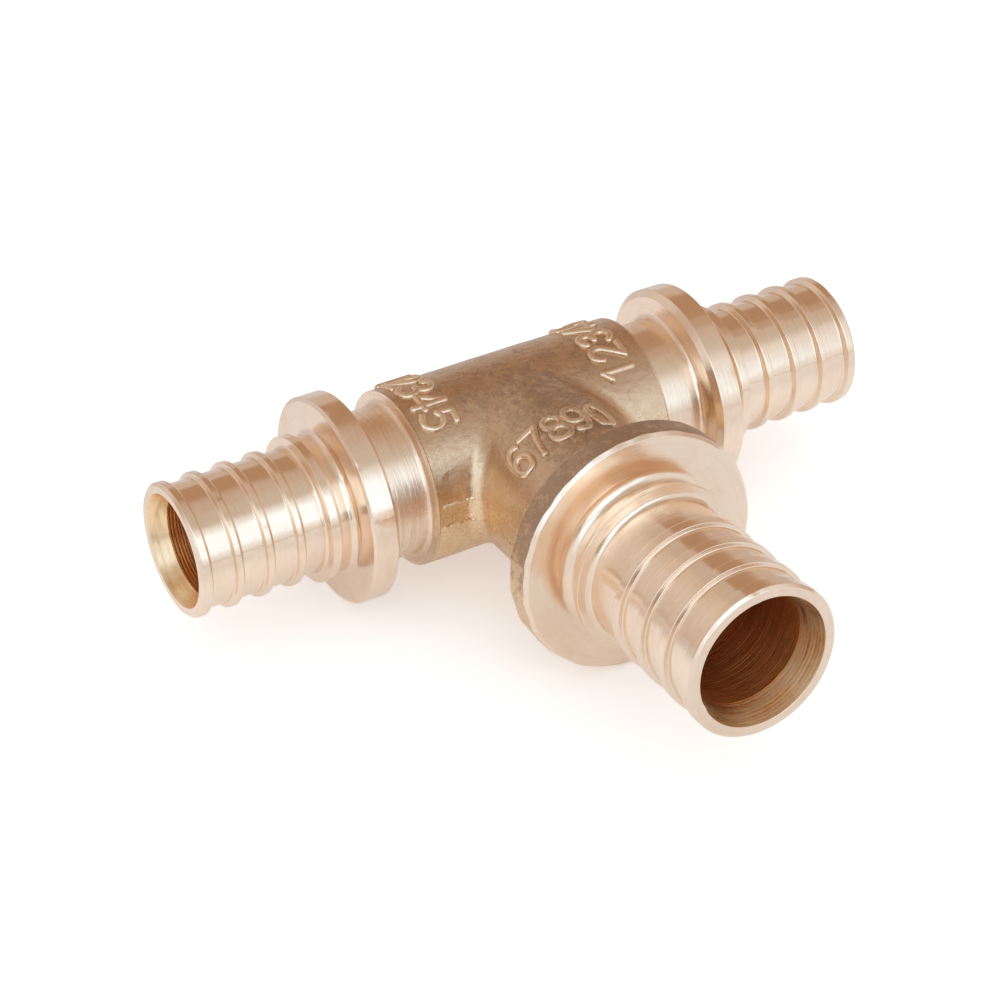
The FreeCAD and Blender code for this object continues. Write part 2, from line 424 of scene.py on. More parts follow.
# Colours as written; rough is from the smoothest to the dullest place; depths and feed are in millimetres
turnedLook = {
    "clean": (0.93, 0.765, 0.62, 1), "streakTone": (0.83, 0.63, 0.45, 1), "stained": (0.76, 0.55, 0.37, 1),
    "stainAmount": 0.3, "roughLow": 0.1, "roughHigh": 0.17, "stretch": 0.5, "feed": 0.16,
    "markDepth": 0.004, "wobble": 0.02, "wobbleScale": 330.0, "stainScale": 110.0, "streakShare": 0.4,
    "neckSpan": 23.3, "neckDepth": 0.04, "neckRough": 0.14, "neckPaintedStreaks": 0.5, "rightNeck": 0.3,
}
# The bores are drawn orange-brown and dark, far deeper than the turned brass of the same metal: painted
# shade of the deep bores, with darker painted streaks
boredLook = {
    "clean": (0.95, 0.46, 0.16, 1), "streakTone": (0.5, 0.18, 0.05, 1), "stained": (0.5, 0.2, 0.06, 1),
    "stainAmount": 0.4, "roughLow": 0.25, "roughHigh": 0.41, "stretch": 0.8, "feed": 0.42,
    "markDepth": 0.05, "wobble": 0.03, "wobbleScale": 330.0, "stainScale": 110.0, "streakShare": 1.0,
}
# The mouth cones are drawn a deeper gold, with darker and stronger streaks, than the turned brass of the
# same metal: painted shade of the mouths
coneLook = dict(turnedLook, clean=(0.95, 0.72, 0.46, 1), streakTone=(0.68, 0.44, 0.23, 1), roughLow=0.2,
                roughHigh=0.34, stretch=0.85, feed=0.3, markDepth=0.01, streakShare=0.75)
pressedLook = {
    "clean": (0.96, 0.73, 0.48, 1), "sanded": (0.78, 0.55, 0.34, 1), "scale": (0.41, 0.295, 0.22, 1),
    "upperTone": (0.52, 0.37, 0.27, 1), "upperToneShare": 0.66,
    "stained": (0.62, 0.42, 0.26, 1), "stainAmount": 0.6, "roughLow": 0.24, "roughHigh": 0.36,
    "scaleRough": 0.42, "grainDepth": 0.036, "scaleDepth": 0.07, "scaleFrom": 0.88, "scaleTo": 1.18,
    "stainScale": 75.0, "patchScale": 620.0, "fleckScale": 2300.0, "sandScale": 3600.0, "broadScale": 500.0,
    "upper": (6, 12.5), "towardsBranch": (8, -6), "halfWidth": 13.33, "everywhere": 0.25, "atBranch": 0.7,
    "rimBehind": (-26.2, -27.2), "rimUpper": (-9, 7), "upperToneRise": (-3, 11),
}
figureLook = dict(pressedLook, clean=(0.9, 0.71, 0.52, 1), sanded=(0.84, 0.63, 0.44, 1), roughLow=0.18,
                  roughHigh=0.28, grainDepth=0.008, scaleFrom=1.02, scaleTo=1.3, upperToneShare=0.2)


def makeTurned(name, alongX, look):
    material, tree, shader, where = newMaterial(name)
    marks = addGroup(tree, turningMarks, Vector=where, Along_X=alongX, Feed=look["feed"])
    skin = addGroup(tree, patina, Vector=where, Scale=look["stainScale"], Amount=look["stainAmount"],
                    Clean=look["clean"], Stained=look["stained"])
    streak = addRange(tree, marks.outputs["Streak"], 0.45, 0.75, 0.0, look["streakShare"])
    shader.inputs["Metallic"].default_value = 1.0
    rough = addRange(tree, marks.outputs["Streak"], 0.3, 0.7, look["roughLow"], look["roughHigh"])
    rough = multiplyAdd(tree, skin.outputs["Mask"], 0.15, rough)
    height = multiply(tree, marks.outputs["Height"], look["markDepth"])
    uneven = addNoise(tree, where, look["wobbleScale"], 2.0, 0.5)
    height = multiplyAdd(tree, uneven, look["wobble"], height)
    if "neckDepth" in look and alongX:
        # the necks were turned with a coarser feed and left duller; the darker streaks laid into their
        # colour are painted shade, standing in for their streaked reflections
        x = splitVector(tree, where)[0]
        along = joinMath(tree, "ABSOLUTE", x)
        neck = addRange(tree, along, (look["neckSpan"] + 0.05) * mm, (look["neckSpan"] - 0.05) * mm)
        neck = multiply(tree, neck, addRange(tree, x, -mm, mm, 1.0, look["rightNeck"]))
        rough = multiplyAdd(tree, neck, look["neckRough"], rough)
        coarse = multiply(tree, marks.outputs["Streak"], look["neckDepth"])
        height = multiplyAdd(tree, neck, coarse, height)
        paintedStreaks = addRange(tree, marks.outputs["Streak"], 0.4, 0.65, 0.0, look["neckPaintedStreaks"])
        streak = multiplyAdd(tree, neck, paintedStreaks, streak)
    # in the bored and mouth-cone looks these colours hold painted shade
    tree.links.new(addMix(tree, streak, skin.outputs["Color"], look["streakTone"]), shader.inputs["Base Color"])
    tree.links.new(rough, shader.inputs["Roughness"])
    addBump(tree, shader, height)
    shader.inputs["Anisotropic"].default_value = look["stretch"]
    shader.inputs["Anisotropic Rotation"].default_value = 0.25
    tangent = addNode(tree, "ShaderNodeTangent", direction_type="RADIAL", axis="X" if alongX else "Y")
    tree.links.new(tangent.outputs[0], shader.inputs["Tangent"])
    return material


def makePressed(name, look):
    material, tree, shader, where = newMaterial(name)
    skin = addGroup(tree, patina, Vector=where, Scale=look["stainScale"], Amount=look["stainAmount"],
                    Clean=look["clean"], Stained=look["stained"])
    x, y, z = splitVector(tree, where)

    def fromTo(value, span, toLow=0.0, toHigh=1.0):
        return addRange(tree, value, span[0] * mm, span[1] * mm, toLow, toHigh)

    # scale from the press lies on the upper side, most at the top of the branch, and all over its rim
    upper, branch = fromTo(z, look["upper"]), fromTo(y, look["towardsBranch"])
    aside = joinMath(tree, "DIVIDE", x, look["halfWidth"] * mm)
    aside = multiply(tree, multiply(tree, aside, aside), -1.0)
    middle = multiply(tree, branch, joinMath(tree, "EXPONENT", aside))
    cover = multiplyAdd(tree, middle, look["atBranch"], look["everywhere"])
    cover = multiply(tree, upper, cover)
    rim = multiply(tree, fromTo(y, look["rimBehind"]), fromTo(z, look["rimUpper"]))
    cover = joinMath(tree, "MAXIMUM", cover, rim)
    patch = addNoise(tree, where, look["patchScale"], 4.0, 0.75, 0.4)
    fleck = addNoise(tree, where, look["fleckScale"], 2.0, 0.8)
    level = multiplyAdd(tree, cover, 0.38, multiplyAdd(tree, fleck, 0.5, patch))
    scale = addRange(tree, level, look["scaleFrom"], look["scaleTo"])
    sand = addNoise(tree, where, look["sandScale"], 2.0, 0.75)
    colour = addMix(tree, addRange(tree, sand, 0.38, 0.66), skin.outputs["Color"], look["sanded"])
    # the colour turns darker towards the top of the body
    upperToneRise = fromTo(z, look["upperToneRise"], 0.0, look["upperToneShare"])
    colour = addMix(tree, upperToneRise, colour, look["upperTone"])
    colour = addMix(tree, multiply(tree, scale, 0.85), colour, look["scale"])
    tree.links.new(colour, shader.inputs["Base Color"])
    shader.inputs["Metallic"].default_value = 1.0
    broad = addNoise(tree, where, look["broadScale"], 2.0, 0.6)
    rough = addRange(tree, broad, 0.3, 0.7, look["roughLow"], look["roughHigh"])
    rough = addRange(tree, scale, 0.0, 1.0, rough, look["scaleRough"])
    tree.links.new(rough, shader.inputs["Roughness"])
    grain = multiplyAdd(tree, broad, 0.5, sand)
    height = multiply(tree, grain, look["grainDepth"])
    pits = multiply(tree, multiply(tree, fleck, cover), look["scaleDepth"])
    addBump(tree, shader, joinMath(tree, "ADD", height, pits))
    return material


runTurned = makeTurned("turnedBrassRun", 1.0, turnedLook)
sideTurned = makeTurned("turnedBrassSide", 0.0, turnedLook)
runBored = makeTurned("boredBrassRun", 1.0, boredLook)
sideBored = makeTurned("boredBrassSide", 0.0, boredLook)
runConed = makeTurned("conedBrassRun", 1.0, coneLook)
sideConed = makeTurned("conedBrassSide", 0.0, coneLook)
pressedSkin = makePressed("pressedBrass", pressedLook)
figureSkin = makePressed("figureBrass", figureLook)
print("materials made")


def armSlots(s):
    # 0 turned, 1 bored, 2 pressed skin, 3 the cone of the mouth
    skinEnd = s["bodyEnd"] if s["neck"] else s["rimEnd"]

    def pick(middle):
        t, r = middle[:, 0], middle[:, 1]
        slots = np.zeros(len(middle), np.int32)
        slots[(r < s["bore"] + 0.02) | ((t < s["jointAt"] + 0.01) & (r < s["bodyRadius"] - 0.05))] = 1
        slots[(t < skinEnd) & (r > s["bodyRadius"] - 0.06)] = 2
        slots[(t > s["end"] - s["mouthDepth"]) & (r < s["mouth"]) & (r > s["bore"] + 0.02)] = 3
        return slots

    return pick


# Knocks on the edges: place along the arm, angle round it, half length round, half width along, depth
wearSizes = {
    "left": [(27.0, 47, 0.5, 0.3, 0.16), (26.9, 12, 0.7, 0.25, 0.12), (42.6, 66, 0.45, 0.35, 0.1),
             (38.4, 31, 0.4, 0.3, 0.09), (47.7, -12, 0.6, 0.3, 0.1), (26.8, 84, 0.8, 0.3, 0.1)],
    "right": [(27.0, 33, 0.6, 0.3, 0.14), (34.3, 58, 0.5, 0.3, 0.09), (47.8, 74, 0.5, 0.3, 0.1),
              (26.9, -20, 0.8, 0.3, 0.1)],
    "side": [(30.3, 138, 0.9, 0.4, 0.14), (30.5, 118, 0.5, 0.3, 0.12), (30.4, 171, 1.0, 0.4, 0.15),
             (46.1, 122, 0.5, 0.3, 0.09), (57.4, 203, 0.6, 0.35, 0.12), (57.3, 96, 0.5, 0.3, 0.1),
             (41.0, 160, 0.4, 0.3, 0.08), (30.3, 62, 1.2, 0.4, 0.12)],
    "rimWave": 0.13, "rimSwell": 0.05, "waveSpread": 2.6, "fineSpread": 9.0, "edgeWidth": 0.22,
    "flatFrom": 152.0, "flatTo": 238.0, "flatStep": 17.0,
}


def ringNoise(angles, spread, height):
    places = [Vector((math.cos(angle) * spread, math.sin(angle) * spread, height)) for angle in angles]
    return np.array([noise.noise(place) for place in places])


def makeWear(arm, s, w):
    def wear(t, r, phi):
        out = np.zeros_like(r)
        for place, angle, length, width, depth in w[arm]:
            around = (np.mod(phi - math.radians(angle) + math.pi, 2 * math.pi) - math.pi) * r
            out += depth * np.exp(-(around / length) ** 2 - ((t - place) / width) ** 2)
        shift = np.zeros_like(t)
        if arm == "side":
            # the pressed rim: slightly uneven, trimmed flat where the flash was, with a wavering front edge
            onRim = (r > s["rimRadius"] - 0.6) & (t < s["collarFront"] + 0.1)
            wave = ringNoise(phi[0], w["waveSpread"], 4.0)
            fine = ringNoise(phi[0], w["fineSpread"], 1.0)
            degrees = np.degrees(phi[0])
            local = np.mod(degrees - w["flatFrom"], w["flatStep"]) - w["flatStep"] / 2
            half = math.radians(w["flatStep"] / 2)
            flat = s["rimRadius"] * (1 - math.cos(half) / np.cos(np.radians(local)))
            flat = np.where((degrees > w["flatFrom"]) & (degrees < w["flatTo"]), flat, 0.0)
            swell = w["rimSwell"] * (wave + 0.5 * fine + 0.8)
            out += onRim * np.maximum(flat + swell, 0)[None, :]
            edge = np.exp(-((t - s["rimEnd"]) / w["edgeWidth"]) ** 2) * onRim
            shift = edge * (w["rimWave"] * (wave * 1.4 + fine))[None, :]
        return t + shift, r - out

    return wear


armMaterials = {
    "left": (runTurned, runBored, pressedSkin, runConed),
    "side": (sideTurned, sideBored, pressedSkin, sideConed),
}
armMaterials["right"] = armMaterials["left"]
armPieces = []
for arm, s in (("left", runSizes), ("right", runSizes), ("side", sideSizes)):
    corners, wear = armCorners(s, edgeRounds), makeWear(arm, s, wearSizes)
    armPieces.append(makeArm(arm + "Tail", arm, corners, armMaterials[arm], armSlots(s), wear))
print("turned arms made")

# Pressed body
bodySizes = {
    "voxel": 0.25, "saddle": 2.0, "runRadius": 11.5, "sideRadius": 11.3, "runEnd": 16.8, "sideEnd": 25.8,
    "runBore": 6.3, "sideBore": 7.7, "drillPoint": 4.6, "smoothing": 6,
    "flashHalf": 1.5, "flashRidge": 0.16, "skinSwell": 0.05, "skinGrain": 0.02, "pitDepth": 0.06,
    "swellScale": 0.22, "grainScale": 1.5, "pitScale": 1.1, "raggedScale": 0.9,
    "pitsUp": (5, 10), "pitsBehind": (9, -1), "pitsAside": 13.0, "pitLevel": (0.16, 0.41),
    "flashRagged": 0.22, "ridgeWidth": 0.1, "flashFade": 0.2,
    "overrun": 1.5, "drillOverrun": 3.0, "relax": 0.6, "sharpAngle": 50.0,
}


def bodySkin(points, s):
    # signed distance to the skin of the two joined cylinders with their round saddle
    x, y, z = points[:, 0], points[:, 1], points[:, 2]
    acrossRun, acrossSide = np.hypot(y, z), np.hypot(x, z)
    toRun, toSide = acrossRun - s["runRadius"], acrossSide - s["sideRadius"]
    toSide = np.where(y > 0, 9.0, toSide)
    cosine = np.clip(z * z / np.maximum(acrossRun * acrossSide, 1e-6), 0, 1)
    sineSquare = np.maximum(1 - cosine ** 2, 1e-5)
    a, b = s["saddle"] - toRun, s["saddle"] - toSide
    inRound = (a - cosine * b > 0) & (b - cosine * a > 0) & (y < 0)
    inside = np.maximum(a * a + b * b - 2 * cosine * a * b, 0) / sineSquare
    return np.where(inRound, s["saddle"] - np.sqrt(inside), np.minimum(toRun, toSide))


def skinNormal(points, s):
    step = 1e-3
    slope = np.stack([bodySkin(points + step * axis, s) - bodySkin(points - step * axis, s)
                      for axis in np.eye(3)], -1)
    return slope / np.maximum(np.linalg.norm(slope, axis=1, keepdims=True), 1e-9)


def cylinderMesh(radius, ends, arm, tip=None):
    # a closed cylinder along an arm, with a drill's cone where tip is given
    along, first, up = armDirections(arm)
    angles = np.linspace(0, 2 * math.pi, roundCount, endpoint=False)
    ring = first[None] * np.cos(angles)[:, None] + up[None] * np.sin(angles)[:, None]
    points = np.concatenate([along * ends[0] + ring * radius, along * ends[1] + ring * radius])
    after = [(j + 1) % roundCount for j in range(roundCount)]
    faces = [(j, after[j], roundCount + after[j], roundCount + j) for j in range(roundCount)]
    faces.append(tuple(range(roundCount, 2 * roundCount)))
    if tip is None:
        faces.append(tuple(range(roundCount - 1, -1, -1)))
    else:
        points = np.concatenate([points, [along * tip]])
        faces += [(2 * roundCount, after[j], j) for j in range(roundCount)]
    return points, faces


def turnFacesOut(mesh):
    builder = bmesh.new()
    builder.from_mesh(mesh)
    bmesh.ops.recalc_face_normals(builder, faces=builder.faces)
    builder.to_mesh(mesh)
    builder.free()


def plainObject(name, points, faces):
    mesh = bpy.data.meshes.new(name)
    mesh.from_pydata(points.tolist(), [], faces)
    turnFacesOut(mesh)
    return placeObject(name, mesh)


def applyModifiers(piece):
    evaluated = piece.evaluated_get(bpy.context.evaluated_depsgraph_get())
    mesh = bpy.data.meshes.new_from_object(evaluated)
    old = piece.data
    piece.modifiers.clear()
    piece.data = mesh
    bpy.data.meshes.remove(old)
    return mesh


def meshArrays(mesh):
    points = np.zeros(len(mesh.vertices) * 3)
    mesh.vertices.foreach_get("co", points)
    edges = np.zeros(len(mesh.edges) * 2, np.int32)
    mesh.edges.foreach_get("vertices", edges)
    return points.reshape(-1, 3), edges.reshape(-1, 2)


def smoothStep(value, start=0.0, end=1.0):
    value = np.clip((value - start) / (end - start), 0, 1)
    return value * value * (3 - 2 * value)


def noiseAt(points, scale, offset, octaves=1):
    shift = Vector((offset, offset * 0.7, -offset))
    if octaves == 1:
        return np.array([noise.noise(Vector(p) * scale + shift) for p in points])
    return np.array([noise.fractal(Vector(p) * scale + shift, 0.7, 2.0, octaves) for p in points])


def skinRelief(points, s):
    x, y, z = points.T
    swell = noiseAt(points, s["swellScale"], 3.1) * s["skinSwell"]
    grain = noiseAt(points, s["grainScale"], 8.2, 3) * s["skinGrain"]
    # scale from the press pits the upper side, most where the branch leaves the run
    upper = smoothStep(z, *s["pitsUp"]) * smoothStep(y, *s["pitsBehind"])
    upper *= np.exp(-(x / s["pitsAside"]) ** 2)
    pits = smoothStep(noiseAt(points, s["pitScale"], 2.7, 2), *s["pitLevel"]) * upper * s["pitDepth"]
    ragged = noiseAt(points * np.array((1, 1, 0.05)), s["raggedScale"], 5.5, 2)
    half = s["flashHalf"] + s["flashRagged"] * ragged * np.where(z > 0, 1, -0.8)
    flat = -np.maximum(half ** 2 - z ** 2, 0) / (2 * s["runRadius"])
    ridge = np.exp(-((np.abs(z) - half) / s["ridgeWidth"]) ** 2) * np.clip(0.45 + 2.2 * ragged, 0, 1)
    onFlash = np.clip((half - np.abs(z)) / s["flashFade"], 0, 1)
    return (swell + grain) * (1 - 0.8 * onFlash) - pits + flat + ridge * s["flashRidge"]


def makeBody(name, s, materials):
    runReach, sideReach = s["runEnd"] + s["overrun"], s["sideEnd"] + s["overrun"]
    long = plainObject("runBlank", *cylinderMesh(s["runRadius"], (-runReach, runReach), "right"))
    side = plainObject("sideBlank", *cylinderMesh(s["sideRadius"], (0.0, sideReach), "side"))
    union = long.modifiers.new("union", "BOOLEAN")
    union.operation, union.object, union.solver = "UNION", side, "EXACT"
    applyModifiers(long)
    bpy.data.objects.remove(side)
    remesh = long.modifiers.new("remesh", "REMESH")
    remesh.mode, remesh.voxel_size, remesh.adaptivity = "VOXEL", s["voxel"], 0.0
    mesh = applyModifiers(long)
    points, edges = meshArrays(mesh)
    free = (np.abs(points[:, 0]) < s["runEnd"] + 1.0) & (points[:, 1] > -s["sideEnd"] - 1.0)
    degree = np.bincount(edges.ravel(), minlength=len(points)).astype(float)[:, None]
    for smoothing in range(s["smoothing"]):
        total = np.zeros_like(points)
        np.add.at(total, edges[:, 0], points[edges[:, 1]])
        np.add.at(total, edges[:, 1], points[edges[:, 0]])
        moved = points + s["relax"] * (total / degree - points)
        for again in range(2):
            moved -= bodySkin(moved, s)[:, None] * skinNormal(moved, s)
        points[free] = moved[free]
    mesh.vertices.foreach_set("co", points.ravel())
    mesh.update()
    print("body skin laid, points:", len(points))

    # a finer mesh along the two lines where the flash was trimmed
    builder = bmesh.new()
    builder.from_mesh(mesh)
    near = np.abs(np.abs(points[:, 2]) - s["flashHalf"]) < 0.5
    builder.edges.ensure_lookup_table()
    fine = [edge for edge in builder.edges if near[edge.verts[0].index] and near[edge.verts[1].index]]
    bmesh.ops.subdivide_edges(builder, edges=fine, cuts=1, use_grid_fill=True)
    for place, out in (((s["runEnd"], 0, 0), (1, 0, 0)), ((-s["runEnd"], 0, 0), (-1, 0, 0)),
                       ((0, -s["sideEnd"], 0), (0, -1, 0))):
        everything = builder.verts[:] + builder.edges[:] + builder.faces[:]
        cut = bmesh.ops.bisect_plane(builder, geom=everything, dist=1e-4, plane_co=place, plane_no=out,
                                     clear_outer=True)
        rim = [item for item in cut["geom_cut"] if isinstance(item, bmesh.types.BMEdge)]
        bmesh.ops.edgeloop_fill(builder, edges=rim)
    builder.to_mesh(mesh)
    builder.free()
    points, edges = meshArrays(mesh)
    lateral = np.abs(bodySkin(points, s)) < 0.05
    ends = np.minimum(s["runEnd"] - np.abs(points[:, 0]), s["sideEnd"] + points[:, 1])
    fade = smoothStep(ends, 0.0, 0.5)
    for again in range(2):
        inwards = bodySkin(points, s) * (fade > 0)
        points[lateral] -= (inwards[:, None] * skinNormal(points, s))[lateral]
    points[lateral] += (skinRelief(points, s) * fade)[lateral, None] * skinNormal(points, s)[lateral]
    mesh.vertices.foreach_set("co", points.ravel())
    mesh.update()

    # the two bores, drilled through the finished skin
    runReach, sideReach = s["runEnd"] + s["drillOverrun"], s["sideEnd"] + s["drillOverrun"]
    runDrill = cylinderMesh(s["runBore"], (-runReach, runReach), "right")
    sideDrill = cylinderMesh(s["sideBore"], (0.0, sideReach), "side", -s["drillPoint"])
    for drill in (plainObject("runDrill", *runDrill), plainObject("sideDrill", *sideDrill)):
        cut = long.modifiers.new("bore", "BOOLEAN")
        cut.operation, cut.object, cut.solver = "DIFFERENCE", drill, "EXACT"
        mesh = applyModifiers(long)
        bpy.data.objects.remove(drill)
    builder = bmesh.new()
    builder.from_mesh(mesh)
    bmesh.ops.triangulate(builder, faces=[face for face in builder.faces if len(face.verts) > 4])
    builder.to_mesh(mesh)
    builder.free()
    centres = np.zeros(len(mesh.polygons) * 3)
    mesh.polygons.foreach_get("center", centres)
    centres = centres.reshape(-1, 3)
    slots = np.zeros(len(centres), np.int32)
    acrossRun, acrossSide = np.hypot(centres[:, 1], centres[:, 2]), np.hypot(centres[:, 0], centres[:, 2])
    slots[(acrossSide < s["sideBore"] + 0.02) & (acrossRun < s["runRadius"] - 0.6)] = 2
    slots[(acrossSide < s["sideBore"] + 0.02) & (centres[:, 1] < -5)] = 2
    slots[acrossRun < s["runBore"] + 0.02] = 1
    mesh.materials.clear()
    for material in materials:
        mesh.materials.append(material)
    mesh.polygons.foreach_set("material_index", slots)
    mesh.polygons.foreach_set("use_smooth", np.ones(len(slots), bool))
    mesh.transform(Matrix.Scale(mm, 4))
    mesh.set_sharp_from_angle(angle=math.radians(s["sharpAngle"]))
    mesh.update()
    long.name = name
    mesh.name = name
    return long


pressedBody = makeBody("pressedBody", bodySizes, (pressedSkin, runBored, sideBored))
print("pressed body made, faces:", len(pressedBody.data.polygons))

# Plain raised figures on the three arms. Each stroke runs smoothly through its points
digitStrokes = {
    "1": [[(0.08, 0.78), (0.32, 1.0)], [(0.32, 1.0), (0.32, 0.0)]],
    "2": [[(0.03, 0.74), (0.1, 0.92), (0.27, 1.0), (0.44, 0.92), (0.5, 0.74), (0.43, 0.55), (0.25, 0.3),
           (0.03, 0.0)],
          [(0.03, 0.0), (0.52, 0.0)]],
    "3": [[(0.04, 0.87), (0.15, 0.97), (0.29, 1.0), (0.44, 0.91), (0.47, 0.73), (0.38, 0.58), (0.2, 0.54)],
          [(0.2, 0.54), (0.41, 0.49), (0.52, 0.32), (0.49, 0.12), (0.33, 0.01), (0.16, 0.01),
           (0.02, 0.14)]],
    "4": [[(0.4, 0.0), (0.4, 1.0)], [(0.4, 1.0), (0.0, 0.3)], [(0.0, 0.3), (0.56, 0.3)]],
    "5": [[(0.47, 1.0), (0.1, 1.0)], [(0.1, 1.0), (0.06, 0.54)],
          [(0.06, 0.54), (0.2, 0.63), (0.36, 0.61), (0.49, 0.48), (0.52, 0.28), (0.43, 0.08), (0.25, 0.0),
           (0.04, 0.1)]],
    "6": [[(0.45, 0.93), (0.3, 1.0), (0.13, 0.86), (0.04, 0.55), (0.04, 0.26), (0.13, 0.05), (0.28, 0.0),
           (0.44, 0.07), (0.52, 0.29), (0.45, 0.51), (0.29, 0.59), (0.13, 0.52), (0.04, 0.32)]],
    "7": [[(0.0, 1.0), (0.52, 1.0)], [(0.52, 1.0), (0.32, 0.58), (0.2, 0.0)]],
    "8": [[(0.27, 0.54), (0.11, 0.61), (0.05, 0.77), (0.12, 0.94), (0.27, 1.0), (0.42, 0.94), (0.49, 0.77),
           (0.43, 0.61), (0.27, 0.54)],
          [(0.27, 0.54), (0.09, 0.46), (0.02, 0.27), (0.1, 0.07), (0.27, 0.0), (0.44, 0.07), (0.52, 0.27),
           (0.45, 0.46), (0.27, 0.54)]],
    "9": [[(0.07, 0.07), (0.22, 0.0), (0.39, 0.14), (0.48, 0.45), (0.48, 0.74), (0.39, 0.95), (0.24, 1.0),
           (0.08, 0.93), (0.0, 0.71), (0.07, 0.49), (0.23, 0.41), (0.39, 0.48), (0.48, 0.68)]],
    "0": [[(0.27, 0.0), (0.1, 0.12), (0.03, 0.5), (0.1, 0.88), (0.27, 1.0), (0.44, 0.88), (0.51, 0.5),
           (0.44, 0.12), (0.27, 0.0)]],
}
figureRows = [
    {"arm": "left", "digits": "12345", "baseline": 15.5, "height": 4.7, "from": 130.0, "sense": -1},
    {"arm": "right", "digits": "12345", "baseline": 14.3, "height": 4.6, "from": 50.0, "sense": 1},
    {"arm": "side", "digits": "67890", "baseline": 18.6, "height": 5.2, "from": 142.0, "sense": -1},
]
figureSizes = {"pitch": 3.1, "strokeShare": 0.94, "halfWidth": 0.53, "height": 0.48, "sunk": 0.25,
               "step": 0.16, "sides": 14, "capSteps": 4}


def smoothStroke(points, step):
    # a curve through all the points, evenly sampled
    points = np.array(points, float)
    if len(points) > 2:
        ends = np.concatenate([[2 * points[0] - points[1]], points, [2 * points[-1] - points[-2]]])
        if np.allclose(points[0], points[-1]):
            ends[0], ends[-1] = points[-2], points[1]
        share = np.linspace(0, 1, 12, endpoint=False)[:, None]
        line = []
        for p0, p1, p2, p3 in zip(ends[:-3], ends[1:-2], ends[2:-1], ends[3:]):
            line.append(0.5 * (2 * p1 + (p2 - p0) * share + (2 * p0 - 5 * p1 + 4 * p2 - p3) * share ** 2
                               + (3 * p1 - p0 - 3 * p2 + p3) * share ** 3))
        points = np.concatenate(line + [points[-1:]])
    reach = np.concatenate([[0], np.cumsum(np.linalg.norm(np.diff(points, axis=0), axis=1))])
    even = np.linspace(0, reach[-1], max(3, math.ceil(reach[-1] / step)))
    return np.stack([np.interp(even, reach, points[:, k]) for k in (0, 1)], 1)


def figureTube(path, s):
    # a rounded bar along a flat path with domed ends; the third number is the height over the skin
    heading = np.gradient(path, axis=0)
    heading /= np.linalg.norm(heading, axis=1, keepdims=True)
    cap = np.linspace(0.08, math.pi / 2, s["capSteps"], endpoint=False)
    first = path[0] - heading[0] * (np.cos(cap) * s["halfWidth"])[:, None]
    last = path[-1] + heading[-1] * (np.cos(cap[::-1]) * s["halfWidth"])[:, None]
    centres = np.concatenate([first, path, last])
    headings = np.concatenate([heading[:1]] * len(cap) + [heading] + [heading[-1:]] * len(cap))
    scale = np.concatenate([np.sin(cap), np.ones(len(path)), np.sin(cap[::-1])])
    aside = np.stack([-headings[:, 1], headings[:, 0]], 1)
    angles = np.linspace(0, 2 * math.pi, s["sides"], endpoint=False)
    out, lift = np.cos(angles), np.sin(angles)
    lift = np.where(lift > 0, lift * s["height"], lift * s["sunk"])
    flat = centres[:, None] + aside[:, None] * (out[None] * scale[:, None] * s["halfWidth"])[..., None]
    points = np.concatenate([flat, (lift[None] * scale[:, None])[..., None]], -1).reshape(-1, 3)
    rows, sides = len(centres), s["sides"]
    faces = []
    for start in range(0, (rows - 1) * sides, sides):
        for j in range(sides):
            after = (j + 1) % sides
            faces.append((start + j, start + after, start + sides + after, start + sides + j))
    faces += [tuple(range(sides - 1, -1, -1)), tuple(range((rows - 1) * sides, rows * sides))]
    return points, faces


def makeFigures(name, rows, s, body, material):
    points, faces, count = [], [], 0
    for row in rows:
        along, first, up = armDirections(row["arm"])
        radius = body["sideRadius"] if row["arm"] == "side" else body["runRadius"]
        for place, digit in enumerate(row["digits"]):
            for stroke in digitStrokes[digit]:
                stroke = np.array(stroke) * row["height"] * s["strokeShare"] + (place * s["pitch"], 0)
                flat, loops = figureTube(smoothStroke(stroke, s["step"]), s)
                phi = math.radians(row["from"]) + row["sense"] * flat[:, 0] / radius
                ring = first * np.cos(phi)[:, None] + up * np.sin(phi)[:, None]
                onArm = along * (row["baseline"] - flat[:, 1])[:, None]
                points.append(onArm + ring * (radius + flat[:, 2])[:, None])
                faces += [tuple(index + count for index in loop) for loop in loops]
                count += len(flat)
    piece = makeMesh(name, np.concatenate(points), faces, None, (material,))
    turnFacesOut(piece.data)
    return piece


raisedFigures = makeFigures("raisedFigures", figureRows, figureSizes, bodySizes, figureSkin)
print("raised figures made")

for piece in armPieces + [pressedBody, raisedFigures]:
    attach(piece, "root")
    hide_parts("tee_body")

# To the metal's reflections the floor shows other colours than to the camera: darker behind the tee, a
# painted shade, and a glow near the tee, a painted light over the tee's own shadow there
floorSettings = {
    "tilt": -5.63, "height": -13.5, "size": 2400.0, "colour": (0.92, 0.915, 0.91, 1),
    "mirrored": (0.87, 0.87, 0.88, 1), "behind": (0.7, 0.66, 0.67, 1), "behindFrom": -5.0, "behindTo": 60.0,
    "lift": 0.36, "reflectedGlowNearTee": 0.2, "liftFrom": 14.0, "liftTo": 40.0, "liftShape": (0.4, 0.5, 0.0),
}
